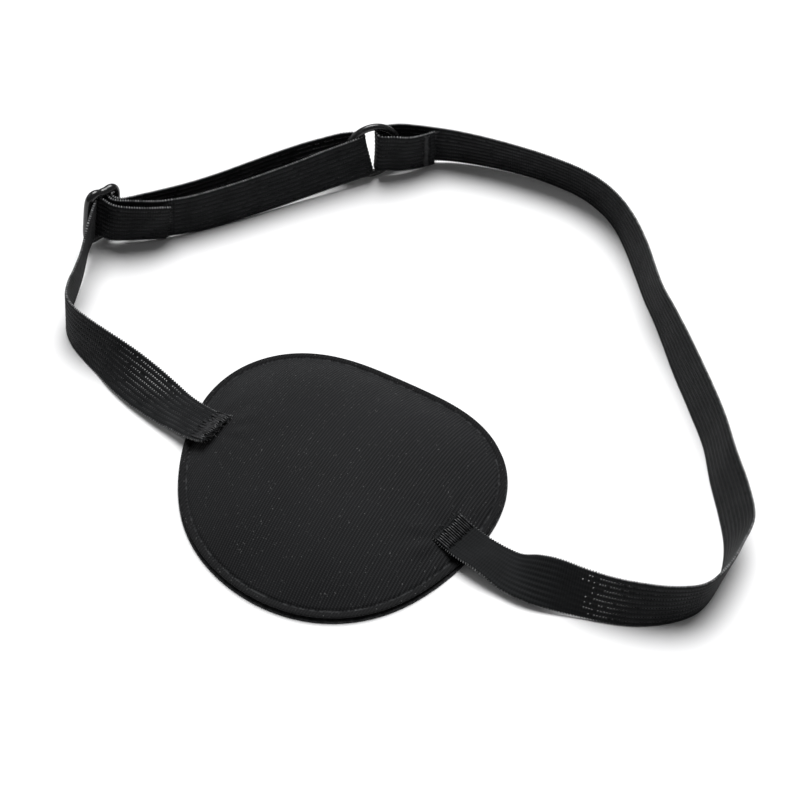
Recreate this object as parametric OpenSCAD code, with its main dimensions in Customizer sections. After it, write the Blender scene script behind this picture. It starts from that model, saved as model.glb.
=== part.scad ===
// Padded eye patch on an adjustable elastic head strap, lying face up with its strap standing on edge.
// Millimetres. +X runs along the strap line of the patch towards its right seam, +Y points to the
// brow side and +Z out of the patch's front. The origin is the middle of the patch's rim underside.

/* [Patch] */
// Length of the patch along the strap line
patch_l = 76; // [72:1:78]
// Width of the patch across the strap line
patch_w = 71; // [69:1:73]
// Height of the dome's top above the rim's underside
dome_h = 12; // [11:0.5:13]
// Thickness of the foam under the dome
foam_t = 3; // [2:0.5:4]
// Thickness of the cover fabric and of the lining fabric
fabric_t = 0.5; // [0.4:0.1:0.6]
// Thickness of the whole pressed rim
rim_t = 1.6; // [1.5:0.1:1.9]
// Distance from the edge to the crease where the dome starts
crease_in = 2; // [1.5:0.5:2.5]

/* [Strap] */
// Width of the elastic
strap_w = 11.5; // [10.5:0.5:11.5]
// Thickness of the elastic
strap_t = 0.7; // [0.5:0.1:0.7]

/* [Ring] */
// Inside diameter of the ring
ring_id = 12.2; // [12.2:0.1:12.6]
// Diameter of the ring's wire
ring_wire = 1.8; // [1.6:0.1:2]

/* [Slider] */
// Length of the slider along the strap
slider_l = 10.4; // [10.2:0.1:10.6]
// Height of the slider across the strap
slider_h = 16.6; // [16.2:0.2:16.8]
// Diameter of the slider's two outer bars
bar_d = 2.1; // [1.8:0.1:2.1]
// Diameter of the slider's centre bar
centre_bar_d = 1.6; // [1.4:0.1:1.6]
// Bend radius of the slider's outer corners
corner_r = 2.2; // [1.8:0.1:2.4]

/* [Thread] */
// Thickness of the sewn bands above the strap
thread_t = 0.35; // [0.3:0.05:0.5]

/* [Hidden] */
$fn = 64;
tiny = 0.01;
thread_gap = 0.08;

// dome: one sphere for the cover's outside, and concentric ones inside it
dome_base = patch_w / 2 - crease_in;
dome_rise = dome_h - rim_t;
dome_r = (dome_base * dome_base + dome_rise * dome_rise) / (2 * dome_rise);
dome_z = dome_h - dome_r;
foam_r = dome_r - fabric_t;
lining_r = foam_r - foam_t;
cavity_r = lining_r - fabric_t;

// the adjuster: a straight line from the slider to the ring, at this angle from +X
slider_at = [-89.2, 42.6];
loop_angle = 48.7;
loop_l = 70.7;
slider_z = 8.6;
slider_pitch = 9;
slider_turn = 22;
ring_z = 8.1;
ring_lean = 5;
ring_r = (ring_id + ring_wire) / 2;

// Strap stations are [x, y, lift of the lower edge, lean]. Lean 0 stands on edge, 90 lies flat with
// the outside up, and a positive lean brings the upper edge towards the inside of the head loop.
// Left strap from its seam on the patch to the slider
RUN = [
    [-28, -1.5, 5.5, 90], [-31, -0.9, 3.9, 90], [-34.5, 0, 2.6, 90], [-38.5, 0.9, 2, 90],
    [-42, 1.5, 1.4, 85], [-46, 2.3, 1, 76], [-51, 3.2, 0.6, 62], [-57, 4.4, 0.3, 46],
    [-63, 5.8, 0.1, 29], [-69, 7.4, 0, 19], [-74.6, 9.4, 0, 11], [-78.6, 12.2, 0, 6],
    [-81, 16.4, 0.2, 6], [-82.4, 21.1, 0.7, 8], [-83.9, 26, 1.5, 9], [-85.6, 30.3, 2.5, 9],
    [-86.9, 33.5, 3.2, 9]
];
// Left strap through the slider, [along the adjuster, across it] from the slider's centre
PASS = [
    [-4.6, -6.4], [-3.3, -4], [-2.2, -1.8], [-1.95, -0.3], [-1.85, 0.8], [-1.2, 1.75], [0, 2.1],
    [1.2, 1.75], [1.9, 0.9], [2.15, 0], [2.55, -1], [3.5, -1.75], [5.2, -1.9], [7.5, -1.6], [10, -1.2]
];
// Left strap from the slider to the ring, round in it, and back to the end loop
RING_LOOP = [
    [10, -1.2, 1.6, 0], [15, -0.9, 0.9, 0], [22, -0.3, 0.4, -1], [30, 0.6, 0.2, -2], [38, 1.8, 0.2, -3],
    [46, 2.7, 0.5, -4], [54, 2.9, 1.1, -6], [59.5, 2.5, 1.7, -6], [63.5, 2.2, 2.1, -5],
    [66.8, 1.7, 2.1, -2], [68.8, 1.1, 2.1, 4], [69.5, 0, 2.1, 11], [68.8, -1.1, 2.1, 11],
    [66.8, -1.7, 2.2, 9], [63.5, -2, 2, 8], [58, -2.3, 1.5, 7], [51, -2.9, 0.9, 5],
    [43, -3.7, 0.5, 4], [35, -4.5, 0.3, 3], [27, -5, 0.2, 2], [21, -5.2, 0.3, 1], [16.2, -5, 0.7, 0]
];
// Left strap's end, folded round the slider's centre bar; it opens clockwise seen from above
END_LOOP = [
    [15.8, -4.95], [13, -4.6], [9, -3.9], [5.5, -3.1], [3.5, -2.65], [2.1, -2], [1.4, -0.9],
    [1.2, 0.1], [0.8, 0.95], [-0.1, 1.22], [-0.9, 0.85], [-1.2, 0], [-0.9, -0.9],
    [-0.1, -1.7], [0.9, -3.1], [2.5, -4.2], [5, -4.9], [9, -5.6], [12.5, -6.1], [15.2, -6.4]
];
// Right strap from its cut end beside the ring, round in the ring, and along to the patch
RIGHT = [
    [-29.8, 105.6, 1, -5], [-32.3, 102.6, 0.9, -6], [-35, 99.5, 1.3, -6], [-37.8, 97.3, 2, -5],
    [-40.1, 95.6, 2.3, -2], [-41.6, 96.3, 2.2, 1], [-42.3, 97.6, 2, 3], [-42.1, 99.6, 1.8, 2],
    [-38.9, 103, 1.4, 2], [-34.8, 105.1, 1.2, 3], [-30.4, 107.2, 0.8, 5], [-25, 109.4, 0.5, 8],
    [-17, 111.4, 0.3, 11], [-8, 112.7, 0.2, 13], [0, 113.1, 0.1, 13], [8, 112.5, 0, 11],
    [15, 110.3, 0, 6], [21, 106.8, 0, 1], [27, 101.4, 0, -5], [33, 94.6, 0, -8], [38.4, 87.8, 0, -7],
    [43, 82.4, 0, -5], [48, 77, 0, -9], [54.5, 69.7, 0, -14], [63, 60.2, 0, -16], [70, 51.9, 0, -17],
    [75.9, 43.2, 0, -22], [81.6, 35.4, 0, -26], [85.8, 28.3, 0, -26], [87.3, 21, 0, -16],
    [87.5, 14, 0, -11], [85.9, 7.4, 0, -6], [81.2, 2.8, 0, 4], [75, -0.4, 0, 14], [69, -2.2, 0, 20],
    [63, -3.2, 0.2, 27], [57.5, -3.5, 0.5, 43], [52, -3.6, 1, 64], [47, -3.2, 1.5, 84],
    [43, -2.7, 1.8, 94], [39.5, -2.2, 1.8, 97], [36.5, -1.7, 2, 95], [33, -1, 2.7, 92],
    [29.5, -0.5, 4.3, 90]
];

// Catmull-Rom interpolation of a list of stations, with this many steps between two of them
function spline_at(p, q, r, s, u) =
    0.5 * (2 * q + (r - p) * u + (2 * p - 5 * q + 4 * r - s) * u * u + (3 * q - p - 3 * r + s) * u * u * u);
function smooth(list, steps = 3) = let (last = len(list) - 1) concat(
    [for (i = [0 : last - 1], k = [0 : steps - 1])
        spline_at(list[max(i - 1, 0)], list[i], list[i + 1], list[min(i + 2, last)], k / steps)],
    [list[last]]
);

function unit(v) = v / norm(v);

// Station heights: the band's middle, from the lift of its lower edge and its lean
function middle(s) = [s[0], s[1], s[2] + strap_w / 2 * abs(cos(s[3])) + strap_t / 2 * abs(sin(s[3]))];

// The four corners of a band's section: across its width, and from its inner to its outer face
function corners(mid, travel, lean, inner, outer) = let (
    right = unit(cross(travel, [0, 0, 1])),
    up = cross(right, travel),
    across = cos(lean) * up + sin(lean) * right,
    outward = cross(across, travel)
) [for (c = [[1, outer], [1, inner], [-1, inner], [-1, outer]])
    mid + c[0] * across * strap_w / 2 + c[1] * outward];

// A flat band swept through stations, between two distances outward from their middle; it may be
// cut to the rows of its path from first to last
module band(stations, steps = 3, inner = -strap_t / 2, outer = strap_t / 2, first = 0, last = 1000) {
    path = smooth(stations, steps);
    mids = [for (s = path) middle(s)];
    tip = len(path) - 1;
    rows = [first : min(last, tip)];
    points = [for (i = rows)
        each corners(mids[i], unit(mids[min(i + 1, tip)] - mids[max(i - 1, 0)]), path[i][3], inner, outer)];
    spans = len(points) / 4 - 1;
    end = 4 * spans;
    sides = [for (i = [0 : spans - 1], k = [0 : 3])
        let (a = 4 * i + k, b = 4 * i + (k + 1) % 4)
            each [[a, b, b + 4], [a, b + 4, a + 4]]];
    caps = [[2, 1, 0], [3, 2, 0], [end, end + 1, end + 2], [end, end + 2, end + 3]];
    polyhedron(points, concat(sides, caps), convexity = 8);
}

// Moves from the adjuster's own frame to the patch's
module adjuster() {
    translate([slider_at[0], slider_at[1], 0])
        rotate(loop_angle)
            children();
}

// Moves from the middle of the slider, which stands pitched towards the ring, to the patch's frame
module at_slider() {
    adjuster()
        translate([0, 0, slider_z])
            rotate([0, slider_pitch, 0])
                children();
}

// The strap's outline extruded across its width, for the tight bends at the slider
module folded_band(route) {
    path = smooth(route, 4);
    last = len(path) - 1;
    function side(i) = let (d = unit(path[min(i + 1, last)] - path[max(i - 1, 0)]))
        [-d[1], d[0]] * strap_t / 2;
    translate([0, 0, -strap_w / 2])
        linear_extrude(strap_w)
            polygon(concat(
                [for (i = [0 : last]) path[i] + side(i)],
                [for (i = [last : -1 : 0]) path[i] - side(i)]
            ));
}

// The patch's edge as a polar curve for a patch 76 by 71: broad at the brow, drawn in at the cheek
function edge_r(a) =
    37 + 1.8 * cos(a - 73) + 1.6 * cos(2 * a + 57) + 1.8 * cos(3 * a - 99) - 0.9 * cos(4 * a);

// The patch's outline, shrunk by inset
module outline(inset = 0) {
    polygon([for (k = [0 : 71]) let (a = 5 * k, r = edge_r(a) - inset)
        [r * cos(a) * patch_l / 76, r * sin(a) * patch_w / 71]]);
}

// A dome layer between two concentric spheres, standing on the height z inside the inset outline
module dome_layer(outer_r, inner_r, inset, z) {
    intersection() {
        translate([0, 0, dome_z])
            difference() {
                sphere(outer_r, $fn = 96);
                sphere(inner_r, $fn = 96);
            }
        translate([0, 0, z])
            linear_extrude(dome_h)
                outline(inset);
    }
}

// A flat layer of the pressed rim, cut away over the eye
module rim_layer(z, t, inset) {
    difference() {
        translate([0, 0, z])
            linear_extrude(t)
                outline(inset);
        translate([0, 0, dome_z])
            sphere(cavity_r, $fn = 96);
    }
}

module front_cover() {
    color("#1c1d1f") {
        difference() {
            translate([0, 0, rim_t - fabric_t])
                linear_extrude(fabric_t)
                    outline(0.4);
            translate([0, 0, dome_z])
                sphere(foam_r, $fn = 96);
        }
        dome_layer(dome_r, foam_r, crease_in, rim_t - tiny);
    }
}

module foam_core() {
    color("#2b2b2d") {
        dome_layer(foam_r, lining_r, crease_in + 0.2, fabric_t);
        difference() {
            translate([0, 0, fabric_t])
                linear_extrude(rim_t - 2 * fabric_t)
                    outline(0.8);
            translate([0, 0, dome_z])
                sphere(lining_r, $fn = 96);
        }
    }
}

module back_lining() {
    color("#161617") {
        rim_layer(0, fabric_t, 0);
        dome_layer(lining_r, cavity_r, crease_in + 2, fabric_t - tiny);
    }
}

module left_strap_run() {
    color("#202224")
        band(RUN);
}

module left_strap_slider_pass() {
    color("#202224")
        at_slider()
            folded_band(PASS);
}

module left_strap_ring_loop() {
    color("#202224")
        adjuster()
            band(RING_LOOP, 2);
}

module left_strap_end_loop() {
    color("#202224")
        at_slider()
            folded_band(END_LOOP);
}

module right_strap() {
    color("#202224")
        band(RIGHT, 2);
}

module ring() {
    color("#17181a")
        adjuster()
            translate([loop_l, 0, ring_z])
                rotate([90 - ring_lean, 0, 0])
                    rotate_extrude($fn = 96)
                        translate([ring_r, 0])
                            circle(d = ring_wire, $fn = 24);
}

// Three upright bars between two end rails, with round outer corners
module slider() {
    reach = (slider_l - bar_d) / 2;
    top = (slider_h - bar_d) / 2;
    color("#141517")
        at_slider()
            rotate(slider_turn) {
                for (x = [-reach, reach])
                    translate([x, 0, 0])
                        cylinder(h = 2 * (top - corner_r), d = bar_d, center = true);
                cylinder(h = 2 * top, d = centre_bar_d, center = true);
                for (z = [-top, top])
                    translate([0, 0, z])
                        rotate([0, 90, 0])
                            cylinder(h = 2 * (reach - corner_r), d = bar_d, center = true);
                for (x = [0, 1], z = [0, 1])
                    mirror([x, 0, 0])
                        mirror([0, 0, z])
                            translate([reach - corner_r, 0, top - corner_r])
                                rotate([90, 0, 0])
                                    rotate_extrude(angle = 90)
                                        translate([corner_r, 0])
                                            circle(d = bar_d, $fn = 24);
            }
}

// A band of close stitches on the outside of a strap, along some rows of its path
module bartack(stations, steps, first, last = 1000) {
    color("#0e0e0f")
        band(stations, steps, strap_t / 2 + thread_gap, strap_t / 2 + thread_t, first, last);
}

module left_bartack() {
    bartack(RUN, 3, 0, 3);
}

module right_bartack() {
    bartack(RIGHT, 2, 2 * len(RIGHT) - 4);
}

module ring_loop_bartack() {
    bartack(RIGHT, 2, 0, 1);
}

// The seam that closes the left strap's end on itself
module end_loop_bartack() {
    seam_l = 1.6;
    color("#0e0e0f")
        at_slider()
            translate([13.4, -6.6 - thread_t, -strap_w / 2])
                rotate(-6)
                    cube([seam_l, thread_t, strap_w]);
}

front_cover();
foam_core();
back_lining();
left_strap_run();
left_strap_slider_pass();
left_strap_ring_loop();
left_strap_end_loop();
right_strap();
ring();
slider();
left_bartack();
right_bartack();
ring_loop_bartack();
end_loop_bartack();
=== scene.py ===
"""Looks for the padded eye patch: ribbed elastic with small holes, a pressed cloth dome, sewn seams,
a moulded slider and a coated wire ring. Metres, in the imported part's frame."""

import math
import random

import bpy
import numpy as np
from mathutils import Matrix, Vector, noise


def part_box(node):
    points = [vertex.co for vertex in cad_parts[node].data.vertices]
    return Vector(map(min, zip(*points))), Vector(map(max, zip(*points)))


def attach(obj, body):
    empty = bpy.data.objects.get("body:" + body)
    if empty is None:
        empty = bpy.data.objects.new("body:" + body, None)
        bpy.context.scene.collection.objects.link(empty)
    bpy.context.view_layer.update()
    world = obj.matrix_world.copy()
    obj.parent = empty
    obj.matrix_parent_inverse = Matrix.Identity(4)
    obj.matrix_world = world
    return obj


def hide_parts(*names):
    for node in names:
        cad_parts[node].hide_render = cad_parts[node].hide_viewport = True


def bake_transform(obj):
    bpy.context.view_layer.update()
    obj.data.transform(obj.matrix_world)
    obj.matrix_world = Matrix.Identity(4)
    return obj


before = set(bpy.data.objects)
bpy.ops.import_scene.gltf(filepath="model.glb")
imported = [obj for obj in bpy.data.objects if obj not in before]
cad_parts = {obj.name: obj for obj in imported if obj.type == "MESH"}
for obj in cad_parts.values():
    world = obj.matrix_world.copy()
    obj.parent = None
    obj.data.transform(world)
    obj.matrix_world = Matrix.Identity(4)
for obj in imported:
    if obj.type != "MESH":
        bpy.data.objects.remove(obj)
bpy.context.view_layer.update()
random.seed(7)
MM = 0.001

# ---------------------------------------------------------------- driving sizes
# the patch: height of the dome, its layers, and the rim with its crease
DOME_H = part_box("front_cover")[1].z
FABRIC_T = 0.5 * MM
FOAM_T = 3 * MM
RIM_T = 1.6 * MM
CREASE_IN = 2 * MM

# the elastic
STRAP_W = 11.5 * MM
STRAP_T = 0.7 * MM

# the adjuster: a straight line from the slider to the ring. The end of the fold flares out.
SLIDER_AT = Vector((-89.2, 42.6, 8.6)) * MM
LOOP_ANGLE = math.radians(48.7)
SLIDER_PITCH = math.radians(9)
SLIDER_TURN = math.radians(22)
END_FLARE = math.radians(9)

# Strap stations: x, y and lift of the lower edge in millimetres, and lean in degrees. Lean 0 stands
# on edge, 90 lies flat, and a positive lean brings the upper edge towards the inside of the loop.
RUN = [
    (-28, -1.5, 5.5, 90), (-31, -0.9, 3.9, 90), (-34.5, 0, 2.6, 90), (-38.5, 0.9, 2, 90),
    (-42, 1.5, 1.4, 85), (-46, 2.3, 1, 76), (-51, 3.2, 0.6, 62), (-57, 4.4, 0.3, 46),
    (-63, 5.8, 0.1, 29), (-69, 7.4, 0, 19), (-74.6, 9.4, 0, 11), (-78.6, 12.2, 0, 6),
    (-81, 16.4, 0.2, 6), (-82.4, 21.1, 0.7, 8), (-83.9, 26, 1.5, 9), (-85.6, 30.3, 2.5, 9),
    (-86.9, 33.5, 3.2, 9),
]
# Strap folds at the slider: along the adjuster and across it, from the slider's centre
PASS = [
    (-4.6, -6.4), (-3.3, -4), (-2.2, -1.8), (-1.95, -0.3), (-1.85, 0.8), (-1.2, 1.75), (0, 2.1),
    (1.2, 1.75), (1.9, 0.9), (2.15, 0), (2.55, -1), (3.5, -1.75), (5.2, -1.9), (7.5, -1.6), (10, -1.2),
]
END_LOOP = [
    (15.8, -4.95), (13, -4.6), (9, -3.9), (5.5, -3.1), (3.5, -2.65), (2.1, -2), (1.4, -0.9),
    (1.2, 0.1), (0.8, 0.95), (-0.1, 1.22), (-0.9, 0.85), (-1.2, 0), (-0.9, -0.9),
    (-0.1, -1.7), (0.9, -3.1), (2.5, -4.2), (5, -4.9), (9, -5.6), (12.5, -6.1), (15.2, -6.4),
]
# Strap between slider and ring and back: along and across the adjuster, lift and lean
RING_LOOP = [
    (10, -1.2, 1.6, 0), (15, -0.9, 0.9, 0), (22, -0.3, 0.4, -1), (30, 0.6, 0.2, -2), (38, 1.8, 0.2, -3),
    (46, 2.7, 0.5, -4), (54, 2.9, 1.1, -6), (59.5, 2.5, 1.7, -6), (63.5, 2.2, 2.1, -5),
    (66.8, 1.7, 2.1, -2), (68.8, 1.1, 2.1, 4), (69.5, 0, 2.1, 11), (68.8, -1.1, 2.1, 11),
    (66.8, -1.7, 2.2, 9), (63.5, -2, 2, 8), (58, -2.3, 1.5, 7), (51, -2.9, 0.9, 5),
    (43, -3.7, 0.5, 4), (35, -4.5, 0.3, 3), (27, -5, 0.2, 2), (21, -5.2, 0.3, 1), (16.2, -5, 0.7, 0),
]
# Right strap from its cut end beside the ring, round in the ring, and along to the patch
RIGHT = [
    (-29.8, 105.6, 1, -5), (-32.3, 102.6, 0.9, -6), (-35, 99.5, 1.3, -6), (-37.8, 97.3, 2, -5),
    (-40.1, 95.6, 2.3, -2), (-41.6, 96.3, 2.2, 1), (-42.3, 97.6, 2, 3), (-42.1, 99.6, 1.8, 2),
    (-38.9, 103, 1.4, 2), (-34.8, 105.1, 1.2, 3), (-30.4, 107.2, 0.8, 5), (-25, 109.4, 0.5, 8),
    (-17, 111.4, 0.3, 11), (-8, 112.7, 0.2, 13), (0, 113.1, 0.1, 13), (8, 112.5, 0, 11),
    (15, 110.3, 0, 6), (21, 106.8, 0, 1), (27, 101.4, 0, -5), (33, 94.6, 0, -8), (38.4, 87.8, 0, -7),
    (43, 82.4, 0, -5), (48, 77, 0, -9), (54.5, 69.7, 0, -14), (63, 60.2, 0, -16), (70, 51.9, 0, -17),
    (75.9, 43.2, 0, -22), (81.6, 35.4, 0, -26), (85.8, 28.3, 0, -26), (87.3, 21, 0, -16),
    (87.5, 14, 0, -11), (85.9, 7.4, 0, -6), (81.2, 2.8, 0, 4), (75, -0.4, 0, 14), (69, -2.2, 0, 20),
    (63, -3.2, 0.2, 27), (57.5, -3.5, 0.5, 43), (52, -3.6, 1, 64), (47, -3.2, 1.5, 84),
    (43, -2.7, 1.8, 94), (39.5, -2.2, 1.8, 97), (36.5, -1.7, 2, 95), (33, -1, 2.7, 92),
    (29.5, -0.5, 4.3, 90),
]

# ---------------------------------------------------------------- camera, light and floor
CAMERA_AZIMUTH = math.radians(28.7)
CAMERA_ELEVATION = math.radians(48)
CAMERA_DISTANCE = 463 * MM
CAMERA_TARGET = Vector((1.3, 30.5, 0)) * MM
CAMERA_LENS = 90
WORLD_STRENGTH = 0.13
KEY_STRENGTH = 3.8
KEY_DIRECTION = (0.1, -0.42, -0.9)
KEY_SPREAD = math.radians(42)
FILL_POWER = 0.6
FILL_PLACE = Vector((-0.75, -0.1, 0.5))
FILL_SIZE = 0.5
FLOOR_REACH = 3


def add_camera():
    direction = Vector((
        math.sin(CAMERA_AZIMUTH) * math.cos(CAMERA_ELEVATION),
        -math.cos(CAMERA_AZIMUTH) * math.cos(CAMERA_ELEVATION),
        math.sin(CAMERA_ELEVATION),
    ))
    data = bpy.data.cameras.new("camera")
    data.lens = CAMERA_LENS
    data.clip_start = 10 * MM
    camera = bpy.data.objects.new("camera", data)
    camera.location = CAMERA_TARGET + direction * CAMERA_DISTANCE
    camera.rotation_euler = (-direction).to_track_quat("-Z", "Y").to_euler()
    bpy.context.scene.collection.objects.link(camera)
    bpy.context.scene.camera = camera
    bpy.context.scene.view_settings.view_transform = "Standard"


def add_light(name, kind, energy, direction, place=(0, 0, 0)):
    data = bpy.data.lights.new(name, kind)
    data.energy = energy
    light = bpy.data.objects.new(name, data)
    light.location = place
    light.rotation_euler = Vector(direction).to_track_quat("-Z", "Y").to_euler()
    bpy.context.scene.collection.objects.link(light)
    return data


def add_studio():
    """A wide soft key from above and behind, a weak softbox at the left, and a pale floor."""
    world = bpy.data.worlds.new("studio")
    world.use_nodes = True
    background = world.node_tree.nodes["Background"]
    background.inputs["Color"].default_value = (1, 1, 1, 1)
    background.inputs["Strength"].default_value = WORLD_STRENGTH
    bpy.context.scene.world = world
    key = add_light("key", "SUN", KEY_STRENGTH, KEY_DIRECTION)
    key.angle = KEY_SPREAD
    fill = add_light("side_softbox", "AREA", FILL_POWER, CAMERA_TARGET - FILL_PLACE, FILL_PLACE)
    fill.size = FILL_SIZE
    corners = [(-FLOOR_REACH, -FLOOR_REACH, 0), (FLOOR_REACH, -FLOOR_REACH, 0),
               (FLOOR_REACH, FLOOR_REACH, 0), (-FLOOR_REACH, FLOOR_REACH, 0)]
    floor = add_mesh("floor", corners, [(0, 1, 2, 3)])
    floor.data.materials.append(plain_material("floor", (0.93, 0.93, 0.935), 0.6))


# ---------------------------------------------------------------- mesh and node helpers
def add_mesh(name, points, faces, smooth=True, attributes=()):
    """A mesh object from points and faces, with named point attributes."""
    mesh = bpy.data.meshes.new(name)
    mesh.from_pydata([tuple(p) for p in points], [], [tuple(f) for f in faces])
    mesh.validate()
    mesh.polygons.foreach_set("use_smooth", [smooth] * len(mesh.polygons))
    for label, values in attributes:
        layer = mesh.attributes.new(label, "FLOAT", "POINT")
        layer.data.foreach_set("value", np.asarray(values, np.float32))
    mesh.update()
    obj = bpy.data.objects.new(name, mesh)
    bpy.context.scene.collection.objects.link(obj)
    return obj


THREAD_END = 0.6


def tubes(routes, radius, sides=6):
    """Points and faces of closed round threads along routes, thinner at their two ends."""
    points, faces = [], []
    for route in routes:
        route = np.asarray(route, float)
        base = len(points)
        travel = np.gradient(route, axis=0)
        travel /= np.linalg.norm(travel, axis=1)[:, None]
        helper = np.array((0.36, 0.48, 0.8))  # any direction that the threads do not run along
        right = np.cross(travel, helper)
        right /= np.linalg.norm(right, axis=1)[:, None]
        up = np.cross(right, travel)
        last = len(route) - 1
        for i, p in enumerate(route):
            thin = radius * (THREAD_END if i in (0, last) else 1)
            for k in range(sides):
                turn = 2 * math.pi * k / sides
                points.append(p + thin * (math.cos(turn) * right[i] + math.sin(turn) * up[i]))
        for i in range(last):
            for k in range(sides):
                a = base + i * sides + k
                b = base + i * sides + (k + 1) % sides
                faces.append((a, b, b + sides, a + sides))
        faces.append([base + k for k in reversed(range(sides))])
        faces.append([base + last * sides + k for k in range(sides)])
    return points, faces


class Shader:
    """A Principled material and the nodes that drive it."""

    def __init__(self, name, roughness, specular=0.5):
        self.material = bpy.data.materials.new(name)
        self.material.use_nodes = True
        self.tree = self.material.node_tree
        self.surface = self.tree.nodes["Principled BSDF"]
        self.surface.inputs["Roughness"].default_value = roughness
        self.surface.inputs["Specular IOR Level"].default_value = specular
        self.place = self.tree.nodes.new("ShaderNodeTexCoord").outputs["Object"]
        self.normal = None

    def node(self, kind, settings=(), **inputs):
        """A node with its settings, and its inputs by name: sockets are linked, numbers are set."""
        made = self.tree.nodes.new("ShaderNode" + kind)
        for key, value in dict(settings).items():
            setattr(made, key, value)
        for key, value in inputs.items():
            socket = made.inputs[int(key[1:])] if key[0] == "i" and key[1:].isdigit() else made.inputs[key]
            if isinstance(value, bpy.types.NodeSocket):
                self.tree.links.new(value, socket)
            else:
                socket.default_value = value
        return made

    def math(self, operation, a, b=0.0):
        return self.node("Math", {"operation": operation}, i0=a, i1=b).outputs[0]

    def attribute(self, name):
        return self.node("Attribute", {"attribute_name": name}).outputs["Fac"]

    def noise(self, scale, detail=3.0, place=None):
        return self.node("TexNoise", Vector=place or self.place, Scale=scale, Detail=detail).outputs["Fac"]

    def ribs(self, pitch, direction="X", distortion=0.0, place=None):
        """Soft parallel ribs of that pitch: at scale 1 the wave bands repeat every 2 pi / 20 metres."""
        settings = {"wave_type": "BANDS", "bands_direction": direction}
        made = self.node("TexWave", settings, Vector=place or self.place, Scale=2 * math.pi / (20 * pitch))
        made.inputs["Distortion"].default_value = distortion
        made.inputs["Detail Scale"].default_value = 2
        return made.outputs["Fac"]

    def ramp(self, value, low, high, dark, light):
        """value taken from low to high, as a colour or number from dark to light."""
        made = self.node("MapRange", {"data_type": "FLOAT"}, Value=value)
        for key, number in zip(("From Min", "From Max"), (low, high)):
            made.inputs[key].default_value = number
        if isinstance(dark, (int, float)):
            made.inputs["To Min"].default_value = dark
            made.inputs["To Max"].default_value = light
            return made.outputs["Result"]
        return self.mix(made.outputs["Result"], dark, light)

    def mix(self, share, a, b):
        made = self.node("Mix", {"data_type": "RGBA"}, i0=share)
        for index, value in ((6, a), (7, b)):
            if isinstance(value, bpy.types.NodeSocket):
                self.tree.links.new(value, made.inputs[index])
            else:
                made.inputs[index].default_value = (*value, 1)
        return made.outputs[2]

    def bump(self, height, strength, distance):
        made = self.node("Bump", Height=height, Strength=strength, Distance=distance)
        if self.normal:
            self.tree.links.new(self.normal, made.inputs["Normal"])
        self.normal = made.outputs["Normal"]
        self.tree.links.new(self.normal, self.surface.inputs["Normal"])

    def colour(self, socket):
        self.tree.links.new(socket, self.surface.inputs["Base Color"])

    def set(self, name, value):
        if isinstance(value, bpy.types.NodeSocket):
            self.tree.links.new(value, self.surface.inputs[name])
        else:
            self.surface.inputs[name].default_value = value


def plain_material(name, colour, roughness):
    shader = Shader(name, roughness)
    shader.set("Base Color", (*colour, 1))
    return shader.material


# ---------------------------------------------------------------- materials
COVER_RIB = 0.65 * MM
COVER_LOOP = 0.42 * MM
KNIT_STITCH = 0.6 * MM
KNIT_YARN = 0.32 * MM


def cover_material():
    """Fine ribbed cloth with a soft sheen and pale specks of lint. The rim is darker, and its crease
    has a broken pale line."""
    s = Shader("cover_cloth", 0.75, 0.12)
    rib = s.ribs(COVER_RIB, "X", 0.6)
    yarn = s.ribs(COVER_LOOP, "Y", 1.2)
    cloud = s.noise(60, 4)
    base = s.ramp(cloud, 0.3, 0.7, (0.0048, 0.005, 0.0055), (0.0082, 0.0085, 0.0093))
    loops = s.math("MULTIPLY", s.ramp(rib, 0.25, 0.9, 0.0, 0.9), s.ramp(yarn, 0.2, 0.8, 0.3, 1.0))
    base = s.mix(loops, base, (0.026, 0.0265, 0.028))
    base = s.mix(s.math("MULTIPLY", s.attribute("rim"), 0.55), base, (0.003, 0.003, 0.0033))
    crease = s.attribute("crease")
    broken = s.ramp(s.noise(900, 2), 0.48, 0.62, 0.0, 0.75)
    base = s.mix(s.math("MULTIPLY", crease, broken), base, (0.05, 0.051, 0.053))
    lint = s.ramp(s.noise(2400, 1), 0.72, 0.76, 0.0, 0.8)
    base = s.mix(lint, base, (0.11, 0.11, 0.11))
    s.colour(base)
    s.set("Sheen Weight", 0.05)
    s.set("Sheen Roughness", 0.45)
    s.set("Sheen Tint", (0.75, 0.78, 0.82, 1))
    s.bump(s.noise(140, 4), 0.25, 0.4 * MM)
    s.bump(rib, 0.55, 0.12 * MM)
    s.bump(yarn, 0.3, 0.06 * MM)
    s.bump(s.noise(5000, 2), 0.35, 0.05 * MM)
    return s.material


def brushed_material(name, dark, light):
    """Soft brushed cloth or foam between two greys."""
    s = Shader(name, 0.9, 0.2)
    s.colour(s.ramp(s.noise(1200, 4), 0.35, 0.7, dark, light))
    s.bump(s.noise(2500, 3), 0.5, 0.08 * MM)
    return s.material


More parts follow.
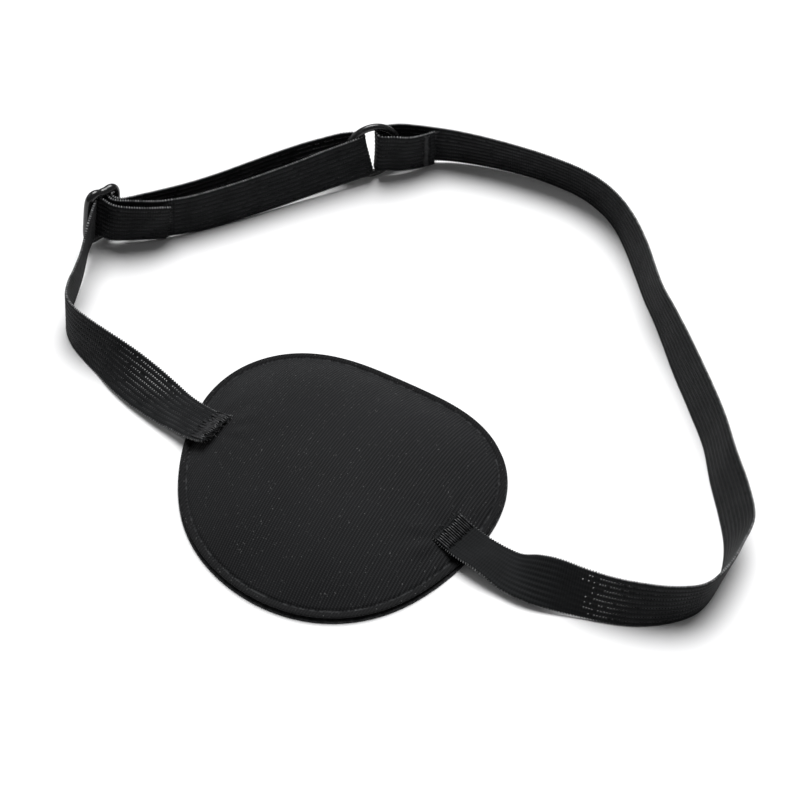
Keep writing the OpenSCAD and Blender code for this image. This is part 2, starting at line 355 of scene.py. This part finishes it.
def elastic_material():
    """Knitted elastic: small stitches along each rib, with painted highlights on the looped edges and
    fainter painted highlights round the holes."""
    s = Shader("elastic", 0.65, 0.1)
    along = s.attribute("along")
    across = s.attribute("across")
    edge = s.math("POWER", s.attribute("edge"), 2.5)
    eyelet = s.math("POWER", s.attribute("eyelet"), 4.0)
    cloth = s.node("CombineXYZ", X=along, Y=across).outputs[0]
    rows = s.ribs(KNIT_STITCH, "X", 0.8, cloth)
    yarn = s.ribs(KNIT_YARN, "Y", 1.0, cloth)
    cloud = s.noise(220, 4, cloth)
    base = s.ramp(cloud, 0.3, 0.7, (0.004, 0.0045, 0.005), (0.0075, 0.0082, 0.009))
    base = s.mix(s.ramp(rows, 0.55, 1.0, 0.0, 0.5), base, (0.013, 0.014, 0.0152))
    # painted highlights, fainter, on the corners round the open holes
    eyelet_highlight = s.math("MULTIPLY", eyelet, s.ramp(cloud, 0.35, 0.6, 0.2, 0.8))
    base = s.mix(eyelet_highlight, base, (0.045, 0.046, 0.048))
    # painted highlights: pale dots on every other row of the looped edges
    glint = s.math("MULTIPLY", edge, s.ramp(s.noise(900, 1, cloth), 0.35, 0.6, 0.25, 1.0))
    base = s.mix(glint, base, (0.42, 0.425, 0.43))
    s.colour(base)
    s.set("Sheen Weight", 0.05)
    s.set("Sheen Roughness", 0.5)
    s.bump(rows, 0.5, 0.1 * MM)
    s.bump(yarn, 0.4, 0.07 * MM)
    s.bump(s.noise(3500, 2), 0.3, 0.05 * MM)
    return s.material


def thread_material():
    s = Shader("thread", 0.4, 0.4)
    # colour varies at random between dark thread and paler strokes; the paler strokes are partly painted
    # highlight
    s.colour(s.ramp(s.noise(900, 3), 0.35, 0.65, (0.005, 0.005, 0.0055), (0.026, 0.0265, 0.029)))
    s.bump(s.noise(4000, 2), 0.4, 0.05 * MM)
    return s.material


def moulded_material():
    """Glossy black plastic with faint mould waves and rubbed high spots."""
    s = Shader("moulded_plastic", 0.2, 0.35)
    s.colour(s.ramp(s.noise(300, 3), 0.4, 0.7, (0.009, 0.009, 0.0095), (0.016, 0.0165, 0.017)))
    s.set("Roughness", s.ramp(s.noise(700, 4), 0.3, 0.7, 0.16, 0.3))
    s.set("Coat Weight", 0.3)
    s.set("Coat Roughness", 0.12)
    s.bump(s.noise(350, 2), 0.12, 0.1 * MM)
    return s.material


def wire_material():
    """Black coating on wire, with small worn spots."""
    s = Shader("coated_wire", 0.25, 0.35)
    worn = s.ramp(s.noise(1300, 2), 0.7, 0.76, 0.0, 0.5)
    base = s.ramp(s.noise(400, 3), 0.35, 0.7, (0.009, 0.009, 0.0095), (0.018, 0.018, 0.019))
    s.colour(s.mix(worn, base, (0.06, 0.06, 0.062)))
    s.set("Roughness", s.ramp(s.noise(900, 4), 0.3, 0.7, 0.18, 0.34))
    s.set("Coat Weight", 0.25)
    s.set("Coat Roughness", 0.15)
    s.bump(s.noise(800, 2), 0.1, 0.06 * MM)
    return s.material


# ---------------------------------------------------------------- the patch
# groove, rounded edge, dents at the seams with puckers round them, and unevenness of the cover
CREASE_DEPTH = 0.35 * MM
CREASE_W = 0.35 * MM
EDGE_DROP = 0.55 * MM
EDGE_ROUND = 0.8 * MM
DENT_DEPTH = 0.75 * MM
DENT_REACH = 6.5 * MM
PUCKER_H = 0.16 * MM
PUCKER_AT = 8.5 * MM
PUCKER_W = 3 * MM
PUCKER_FOLDS = 9
WAVE_H = 0.14 * MM
WAVE_SCALE = 110
# room below the CAD's top and rim for the soft fillet and the waves
WAVE_ROOM = 0.1 * MM
FILLET_ROOM = 0.15 * MM
DOME_FILLET = 0.7 * MM
LINING_FILLET = 0.3 * MM
LEAST_FOAM = 0.2 * MM
# the cover thins to this share of itself over the last stretch before its edge
EDGE_THINNING = 0.6
THINNING_REACH = 1 * MM
# widths of the pale line in the crease and of the rim's darker band where it fades in
CREASE_LINE_W = 0.22 * MM
RIM_FADE = 0.5 * MM


def edge_radius(a):
    """Distance of the patch's edge from its middle at angle a: an egg drawn out towards the seams."""
    return (37 + 1.8 * np.cos(a - math.radians(73)) + 1.6 * np.cos(2 * a + math.radians(57))
            + 1.8 * np.cos(3 * a - math.radians(99)) - 0.9 * np.cos(4 * a)) * MM


EDGE_STEPS = 360
RING_COUNT = 90
ANGLES = np.linspace(0, 2 * math.pi, EDGE_STEPS, endpoint=False)
EDGE = edge_radius(ANGLES)
SEAMS = [Vector((-30.5, -1, 0)) * MM, Vector((32, -1, 0)) * MM]


def dome_share(ratio):
    """Height of the dome from 1 in its middle to 0 at its foot, for a share of the way out."""
    roundness = 1.55
    foot = math.sqrt(roundness ** 2 - 1)
    return (np.sqrt(roundness ** 2 - np.minimum(ratio, 1) ** 2) - foot) / (roundness - foot)


def soft_max(a, b, softness):
    """The larger of two heights, with a soft fillet where they cross."""
    return 0.5 * (a + b + np.sqrt((a - b) ** 2 + softness ** 2))


def cover_height(x, y, ratio, inside):
    """Top of the cover, from the share of the way to the dome's foot and the distance inside the edge."""
    dome = RIM_T + (DOME_H - RIM_T - WAVE_ROOM) * dome_share(ratio)
    height = soft_max(dome - FILLET_ROOM, np.full_like(dome, RIM_T - WAVE_ROOM), DOME_FILLET)
    height -= CREASE_DEPTH * np.exp(-((inside - CREASE_IN) / CREASE_W) ** 2)
    height -= EDGE_DROP * np.clip(1 - inside / EDGE_ROUND, 0, 1) ** 2
    for seam in SEAMS:
        away = np.hypot(x - seam.x, y - seam.y)
        turn = np.arctan2(y - seam.y, x - seam.x)
        height -= DENT_DEPTH * np.exp(-(away / DENT_REACH) ** 2)
        around = np.exp(-((away - PUCKER_AT) / PUCKER_W) ** 2)
        height += PUCKER_H * around * np.cos(PUCKER_FOLDS * turn + 1.3 * np.sin(3 * turn))
    spots = zip(x.flat, y.flat)
    waves = np.array([noise.noise(Vector((px, py, 0.3)) * WAVE_SCALE) for px, py in spots])
    return height + WAVE_H * waves.reshape(x.shape) * np.clip(inside / (4 * MM), 0.15, 1)


def patch_layer(name, inset, surfaces, material):
    """One closed layer of the patch on a polar grid. surfaces gives its top and bottom heights."""
    rings = 1 - (1 - np.linspace(0.02, 1, RING_COUNT)) ** 1.6  # closer together towards the edge
    reach = EDGE - inset
    radius = rings[:, None] * reach[None, :]
    x = radius * np.cos(ANGLES)
    y = radius * np.sin(ANGLES)
    inside = EDGE[None, :] - radius
    ratio = radius / (EDGE - CREASE_IN)[None, :]
    top, bottom = surfaces(x, y, ratio, inside)
    count = len(ANGLES)
    points = []
    for height in (top, bottom):
        points.extend(np.stack([x, y, height], -1).reshape(-1, 3))
        points.append((0, 0, height[0].mean()))
    half = rings.size * count + 1
    faces = []
    after = (np.arange(count) + 1) % count
    for base, flip in ((0, False), (half, True)):
        for j in range(rings.size - 1):
            for k in range(count):
                a, b = base + j * count + k, base + j * count + after[k]
                quad = (a, a + count, b + count, b)
                faces.append(quad[::-1] if flip else quad)
        centre = base + half - 1
        for k in range(count):
            fan = (centre, base + k, base + after[k])
            faces.append(fan[::-1] if flip else fan)
    rim = (rings.size - 1) * count
    for k in range(count):
        faces.append((rim + k, half + rim + k, half + rim + after[k], rim + after[k]))
    groove = np.exp(-((inside - CREASE_IN) / CREASE_LINE_W) ** 2).reshape(-1)
    groove = np.concatenate([groove, [0], groove, [0]])
    band = np.clip((CREASE_IN - inside) / RIM_FADE, 0, 1).reshape(-1)
    band = np.concatenate([band, [0], band, [0]])
    layer = add_mesh(name, points, faces, True, [("crease", groove), ("rim", band)])
    layer.data.materials.append(material)
    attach(layer, "root")
    return layer


def cover_surfaces(x, y, ratio, inside):
    top = cover_height(x, y, ratio, inside)
    thickness = FABRIC_T * np.clip(inside / THINNING_REACH, EDGE_THINNING, 1)
    return top, top - thickness


def lining_top(x, y, ratio, inside):
    """The lining's upper face: flat in the rim, then up under the foam."""
    dome = cover_height(x, y, ratio, inside) - FABRIC_T - FOAM_T
    return soft_max(dome, np.full_like(dome, FABRIC_T), LINING_FILLET)


def foam_surfaces(x, y, ratio, inside):
    under = lining_top(x, y, ratio, inside)
    return np.maximum(cover_height(x, y, ratio, inside) - FABRIC_T, under + LEAST_FOAM), under


def lining_surfaces(x, y, ratio, inside):
    top = lining_top(x, y, ratio, inside)
    return top, np.maximum(top - FABRIC_T, 0)


# ---------------------------------------------------------------- elastic
def spline(values, steps):
    """Catmull-Rom curve through the rows of values, with this many steps between two of them."""
    values = np.asarray(values, float)
    padded = np.vstack([values[:1], values, values[-1:]])
    rows = []
    for i in range(len(values) - 1):
        p, q, r, s = padded[i:i + 4]
        for u in np.arange(steps) / steps:
            rows.append(0.5 * (2 * q + (r - p) * u + (2 * p - 5 * q + 4 * r - s) * u ** 2
                               + (3 * q - p - 3 * r + s) * u ** 3))
    return np.array(rows + [values[-1]])


def unit(rows):
    return rows / np.linalg.norm(rows, axis=-1, keepdims=True)


def leaning_frames(stations, adjuster=False):
    """Middle and across direction of each station that stands or lies on the floor."""
    rows = np.array(stations, float)
    lean = np.radians(rows[:, 3])
    height = rows[:, 2] * MM + STRAP_W / 2 * abs(np.cos(lean)) + STRAP_T / 2 * abs(np.sin(lean))
    plan = rows[:, :2] * MM
    if adjuster:
        plan = turn_plan(plan) + np.array(SLIDER_AT[:2])
    middle = np.column_stack([plan, height])
    travel = unit(np.gradient(middle, axis=0))
    right = unit(np.cross(travel, (0, 0, 1)))
    up = np.cross(right, travel)
    across = np.cos(lean)[:, None] * up + np.sin(lean)[:, None] * right
    return middle, across


def turn_plan(plan):
    """Places along and across the adjuster, turned to its direction on the floor."""
    c, s = math.cos(LOOP_ANGLE), math.sin(LOOP_ANGLE)
    return plan @ np.array([[c, s], [-s, c]])


def slider_frames(route, flare=0):
    """Middle and across direction of each station of a fold in the slider, which stands pitched.
    The upper edge leans out by the angle flare: not yet at the seventh station from the end, and
    fully from the third."""
    r = np.array(route, float) * MM
    c, s = math.cos(SLIDER_PITCH), math.sin(SLIDER_PITCH)
    plan = turn_plan(np.column_stack([r[:, 0] * c, r[:, 1]])) + np.array(SLIDER_AT[:2])
    middle = np.column_stack([plan, SLIDER_AT.z - r[:, 0] * s])
    lean_plan = turn_plan(np.array([[s, 0]]))[0]
    across = np.tile((*lean_plan, c), (len(r), 1))
    out = turn_plan(np.array([[0, -1]]))[0]
    opened = np.clip((np.arange(len(r)) - len(r) + 7) / 4, 0, 1)[:, None]
    across = unit(across + math.tan(flare) * opened * np.array((*out, 0)))
    return middle, across


# lengthwise ribs with rows of holes between them: one hole to a stitch, most of them open
PATH_STEPS = 14
RIBS = 9
RIB_STEPS = 5
RIB_CROWN = 0.35
HOLE_W = 0.34 * MM
STITCH = 0.62 * MM
HOLE_SHARE = 0.4
OPEN_SHARE = 0.93
OPENING_REACH = 5 * MM
# the looped edges stand out at one row and draw in at the next
EDGE_THICKNESS = 0.6
LOOP_OUT = 0.32 * MM
LOOP_IN = 0.14 * MM
KNIT_SWELL = 0.05
DRAWS = np.random.default_rng(7)


def strip_profile():
    """Across the strap: place, half thickness and whether the cell after it is a row of holes."""
    rib_w = (STRAP_W - (RIBS - 1) * HOLE_W) / RIBS
    place, half, holed = [], [], []
    for rib in range(RIBS):
        start = -STRAP_W / 2 + rib * (rib_w + HOLE_W)
        for k in range(RIB_STEPS + 1):
            share = k / RIB_STEPS
            place.append(start + share * rib_w)
            half.append(STRAP_T / 2 * (1 - RIB_CROWN + RIB_CROWN * math.sin(math.pi * share)))
            holed.append(k == RIB_STEPS and rib < RIBS - 1)
    half[0] = half[-1] = STRAP_T / 2 * EDGE_THICKNESS
    return np.array(place), np.array(half), np.array(holed[:-1])


class Strap:
    """A length of elastic: two rows to a stitch on a smooth path, cut where two station lists meet.
    It is drawn in to seam_share of its width at its seam, and over seam_reach back to full width.
    Its holes are pulled shut for the length closed beside the seam."""

    def __init__(self, frames, seam_share, seam_reach, closed, seam_at_end):
        middle = np.vstack([f[0] for f in frames])
        across = np.vstack([f[1] for f in frames])
        path = spline(middle, PATH_STEPS)
        lay = spline(across, PATH_STEPS)
        far = np.concatenate([[0], np.cumsum(np.linalg.norm(np.diff(path, axis=0), axis=1))])
        self.rows = int(far[-1] / STITCH) * 2
        self.along = np.linspace(0, far[-1], self.rows + 1)
        self.along[1:-1:2] += (0.5 - HOLE_SHARE) * STITCH
        self.length = far[-1]
        self.middle = np.column_stack([np.interp(self.along, far, path[:, k]) for k in range(3)])
        lay = np.column_stack([np.interp(self.along, far, lay[:, k]) for k in range(3)])
        from_seam = far[-1] - self.along if seam_at_end else self.along
        self.share = 1 - (1 - seam_share) * np.exp(-(from_seam / seam_reach) ** 2)
        self.open_chance = OPEN_SHARE * np.clip((from_seam - closed) / OPENING_REACH, 0, 1)
        self.travel = unit(np.gradient(self.middle, axis=0))
        lay = lay - (lay * self.travel).sum(1)[:, None] * self.travel
        self.across = unit(lay)
        self.outward = np.cross(self.across, self.travel)
        ends = np.cumsum([len(f[0]) for f in frames])[:-1] - 1
        self.cuts = [int(round(far[i * PATH_STEPS] / far[-1] * self.rows / 2)) * 2 for i in ends]

    def point(self, along, across, lift):
        """A place on the strap: metres along it, share of half its width, metres off its outside face."""
        row = int(round(np.clip(along / self.length, 0, 1) * self.rows))
        return (self.middle[row] + self.across[row] * across * self.share[row] * STRAP_W / 2
                + self.outward[row] * (STRAP_T / 2 + lift))

    def piece(self, name, first, last, material):
        """The mesh of the rows from first to last, with ribs, holes and looped edges."""
        place, half, holed = strip_profile()
        rows = np.arange(first, last + 1)
        n, m = len(rows), len(place)
        loops = np.zeros((n, m))
        loops[:, 0] = np.where(rows % 2 == 0, -LOOP_OUT, LOOP_IN)
        loops[:, -1] = -loops[:, 0]
        knit = 1 + KNIT_SWELL * np.cos(math.pi * rows)[:, None]
        wide = (place + loops) * self.share[rows][:, None]
        spots = self.middle[rows][:, None] + self.across[rows][:, None] * wide[:, :, None]
        thick = self.outward[rows][:, None] * (half * knit)[:, :, None]
        points = np.concatenate([(spots + thick).reshape(-1, 3), (spots - thick).reshape(-1, 3)])
        i, j = np.meshgrid(np.arange(n - 1), np.arange(m - 1), indexing="ij")
        a = i * m + j  # first corner of each cell on the outside face
        under = n * m  # from a point on the outside face to the one below it
        open_cell = holed[None, :] & (rows[:-1] % 2 == 1)[:, None]
        open_cell[:2] = open_cell[-2:] = False  # each piece ends in whole cloth
        open_cell &= DRAWS.random(open_cell.shape) < self.open_chance[rows[:-1], None]
        solid = a[~open_cell]
        hole = a[open_cell]
        top = np.stack([solid, solid + m, solid + m + 1, solid + 1], 1)
        groups = [top, top[:, ::-1] + under]
        corner = [hole, hole + m, hole + m + 1, hole + 1]
        for k in range(4):
            p, q = corner[k], corner[(k + 1) % 4]
            groups.append(np.stack([q, p, p + under, q + under], 1))
        side = np.arange(n - 1) * m
        groups.append(np.stack([side, side + under, side + m + under, side + m], 1))
        side = side + m - 1
        groups.append(np.stack([side, side + m, side + m + under, side + under], 1))
        end = np.arange(m - 1)
        groups.append(np.stack([end, end + 1, end + 1 + under, end + under], 1))
        end = end + (n - 1) * m
        groups.append(np.stack([end, end + under, end + 1 + under, end + 1], 1))
        faces = np.concatenate(groups)
        # masks that place the painted highlights: every other row of both looped edges, and the corners
        # round open holes
        border = np.zeros((n, m))
        border[:, 0] = border[:, -1] = rows % 2 == 0
        eyelet = np.zeros((n, m))
        for down, over in ((0, 0), (0, 1), (1, 0), (1, 1)):
            eyelet[down:n - 1 + down, over:m - 1 + over][open_cell] = 1
        attributes = [
            ("along", np.tile(np.repeat(self.along[rows], m), 2)),
            ("across", np.tile(np.tile(place, n), 2)),
            ("edge", np.tile(border.reshape(-1), 2)),
            ("eyelet", np.tile(eyelet.reshape(-1), 2)),
        ]
        strap = add_mesh(name, points, faces.tolist(), True, attributes)
        strap.data.materials.append(material)
        return strap


# ---------------------------------------------------------------- sewing
THREAD_R = 0.17 * MM
STITCH_BOW = 0.18 * MM
STITCH_BITE = 0.25 * MM
BAR_REACH = 0.93
FIBRE_R = 0.05 * MM
FIBRE_LENGTHS = (0.3, 1.1)
FIBRE_SPREAD = 0.5


def stitch(strap, start, end, lift):
    """A stitch on the strap between two (along, across) places: its middle is bowed up and its ends
    go into the cloth."""
    route = []
    for u in np.linspace(0, 1, 9):
        along = start[0] + (end[0] - start[0]) * u
        across = start[1] + (end[1] - start[1]) * u
        bow = STITCH_BOW * (1 - (2 * u - 1) ** 4)
        bite = STITCH_BITE * (u in (0, 1))
        route.append(strap.point(along, across, lift + bow - bite))
    return route


def satin_bar(strap, near, far, count, zigzag, uneven=0.25 * MM):
    """Close stitches side by side across the strap, from near to far along it."""
    routes = []
    step = 2 * BAR_REACH / (count - 1)
    for k in range(count):
        across = -BAR_REACH + 2 * BAR_REACH * k / (count - 1)
        a = near + random.uniform(-uneven, uneven)
        b = far + random.uniform(-uneven, uneven)
        shift = step * 0.5 if zigzag else step * random.uniform(-0.12, 0.12)
        routes.append(stitch(strap, (a, across), (b, across + shift), 0.05 * MM))
        if zigzag and k < count - 1:
            routes.append(stitch(strap, (b, across + shift), (a, across + step), 0.0))
    return routes


def fray(strap, at_end, count):
    """Loose fibres at a cut end of the strap."""
    routes = []
    row = -1 if at_end else 0
    away = strap.travel[row] * (1 if at_end else -1)
    along = strap.length if at_end else 0
    for _ in range(count):
        across = random.uniform(-0.98, 0.98)
        start = strap.point(along, across, -STRAP_T * random.uniform(0.15, 0.85))
        drift = np.array([random.uniform(-FIBRE_SPREAD, FIBRE_SPREAD) for _ in range(3)])
        length = random.uniform(*FIBRE_LENGTHS) * MM
        direction = away + drift * 0.8
        curl = np.array([random.uniform(-FIBRE_SPREAD, FIBRE_SPREAD) for _ in range(3)])
        steps = (-0.25, 0.2, 0.5, 0.8, 1)  # the first lies inside the strap
        routes.append([start + length * (direction * u + curl * u * u) for u in steps])
    return routes


def add_threads(name, routes, radius, body, node=None, sides=6):
    """One object from many threads, which rides on a body and may stand for a CAD seam."""
    points, faces = tubes(routes, radius, sides)
    threads = add_mesh(name, points, faces)
    threads.data.materials.append(thread)
    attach(threads, body)
    if node:
        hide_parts(node)
    return threads


# ---------------------------------------------------------------- slider
FRAME_REACH = 4.15 * MM
FRAME_TOP = 7.25 * MM
FRAME_R = 1.14 * MM
FRAME_SQUARENESS = 0.42
FRAME_DIP = 0.1
FRAME_DIP_W = 1.7 * MM
BAR_R = 0.8 * MM
BAR_TOP = 0.92
MOULD_GRAIN = 0.17 * MM


def moulded_slider():
    """The slider as moulded: a rounded frame whose rails dip towards the centre bar, with soft corners."""
    turn = np.linspace(0, 2 * math.pi + 0.15, 110)  # its two ends overlap
    x = FRAME_REACH * np.sign(np.cos(turn)) * abs(np.cos(turn)) ** FRAME_SQUARENESS
    z = FRAME_TOP * np.sign(np.sin(turn)) * abs(np.sin(turn)) ** FRAME_SQUARENESS
    z *= 1 - FRAME_DIP * np.exp(-(x / FRAME_DIP_W) ** 2)
    outer_points, outer_faces = tubes([np.column_stack([x, 0 * x, z])], FRAME_R, 16)
    bar_route = [(0, 0, FRAME_TOP * BAR_TOP * k) for k in (-1, -0.5, 0, 0.5, 1)]
    bar_points, bar_faces = tubes([bar_route], BAR_R, 16)
    faces = outer_faces + [[v + len(outer_points) for v in face] for face in bar_faces]
    rough = add_mesh("slider_rough", outer_points + bar_points, faces)
    fused = rough.modifiers.new("fuse", "REMESH")
    fused.mode = "VOXEL"
    fused.voxel_size = MOULD_GRAIN
    fillets = rough.modifiers.new("fillets", "SMOOTH")
    fillets.iterations = 8
    shape = bpy.data.meshes.new_from_object(rough.evaluated_get(bpy.context.evaluated_depsgraph_get()))
    bpy.data.objects.remove(rough)
    shape.transform(Matrix.Translation(SLIDER_AT) @ Matrix.Rotation(LOOP_ANGLE, 4, "Z")
                    @ Matrix.Rotation(SLIDER_PITCH, 4, "Y") @ Matrix.Rotation(SLIDER_TURN, 4, "Z"))
    shape.polygons.foreach_set("use_smooth", [True] * len(shape.polygons))
    moulded = bpy.data.objects.new("slider_moulded", shape)
    bpy.context.scene.collection.objects.link(moulded)
    shape.materials.append(moulded_material())
    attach(moulded, "slider")
    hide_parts("slider")


# ---------------------------------------------------------------- build
add_camera()
add_studio()
cloth = cover_material()
foam = brushed_material("foam", (0.008, 0.008, 0.0085), (0.015, 0.015, 0.0155))
lining = brushed_material("lining_cloth", (0.012, 0.0125, 0.0135), (0.045, 0.046, 0.048))
elastic = elastic_material()
thread = thread_material()

left = Strap([leaning_frames(RUN), [f[1:] for f in slider_frames(PASS)],
              [f[1:] for f in leaning_frames(RING_LOOP, True)],
              [f[1:] for f in slider_frames(END_LOOP, END_FLARE)]],
             seam_share=0.84, seam_reach=30 * MM, closed=1 * MM, seam_at_end=False)
right = Strap([leaning_frames(RIGHT)], seam_share=0.78, seam_reach=26 * MM, closed=34 * MM, seam_at_end=True)
run_end, pass_end, loop_end = left.cuts

cover_layer = patch_layer("patch_cover", 0.4 * MM, cover_surfaces, cloth)
foam_layer = patch_layer("patch_foam", 0.8 * MM, foam_surfaces, foam)
lining_layer = patch_layer("patch_lining", 0, lining_surfaces, lining)
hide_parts("front_cover")
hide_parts("foam_core")
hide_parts("back_lining")

# the run, from the patch's seam to the slider
run = left.piece("left_strap_run_elastic", 0, run_end, elastic)
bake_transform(run)
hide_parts("left_strap_run")
slider_fold = left.piece("left_strap_slider_elastic", run_end, pass_end, elastic)
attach(slider_fold, "strap_end")
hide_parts("left_strap_slider_pass")
ring_fold = left.piece("left_strap_loop_elastic", pass_end, loop_end, elastic)
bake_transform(ring_fold)
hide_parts("left_strap_ring_loop")
end_fold = left.piece("left_strap_end_elastic", loop_end, left.rows, elastic)
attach(end_fold, "strap_end")
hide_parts("left_strap_end_loop")
right_strap = right.piece("right_strap_elastic", 0, right.rows, elastic)
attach(right_strap, "root")
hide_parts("right_strap")

# the seams: heavy zigzag bars at the patch's left, one plain bar at its right, fine bars at the ends
left_stitches = (satin_bar(left, 0.5 * MM, 3.8 * MM, 17, True, 0.6 * MM)
                 + satin_bar(left, 1 * MM, 5.4 * MM, 12, True, 1.1 * MM))
add_threads("left_seam", left_stitches, THREAD_R * 1.2, "root", "left_bartack")
add_threads("right_seam", satin_bar(right, right.length - 0.4 * MM, right.length - 4.6 * MM, 15, False),
            THREAD_R * 1.25, "root", "right_bartack")
add_threads("ring_loop_seam", satin_bar(right, 1.4 * MM, 3.2 * MM, 24, True), THREAD_R * 0.8, "root",
            "ring_loop_bartack")
add_threads("end_loop_seam", satin_bar(left, left.length - 1.2 * MM, left.length - 2.8 * MM, 24, True),
            THREAD_R * 0.8, "strap_end", "end_loop_bartack")
add_threads("left_fray", fray(left, False, 80), 1.4 * FIBRE_R, "root", sides=4)
add_threads("ring_loop_fray", fray(right, False, 45), FIBRE_R, "root", sides=4)
add_threads("end_loop_fray", fray(left, True, 40), FIBRE_R, "strap_end", sides=4)
add_threads("right_fray", fray(right, True, 30), FIBRE_R, "root", sides=4)

moulded_slider()
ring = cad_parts["ring"]
ring.data.materials.clear()
ring.data.materials.append(wire_material())
ring.data.polygons.foreach_set("use_smooth", [True] * len(ring.data.polygons))
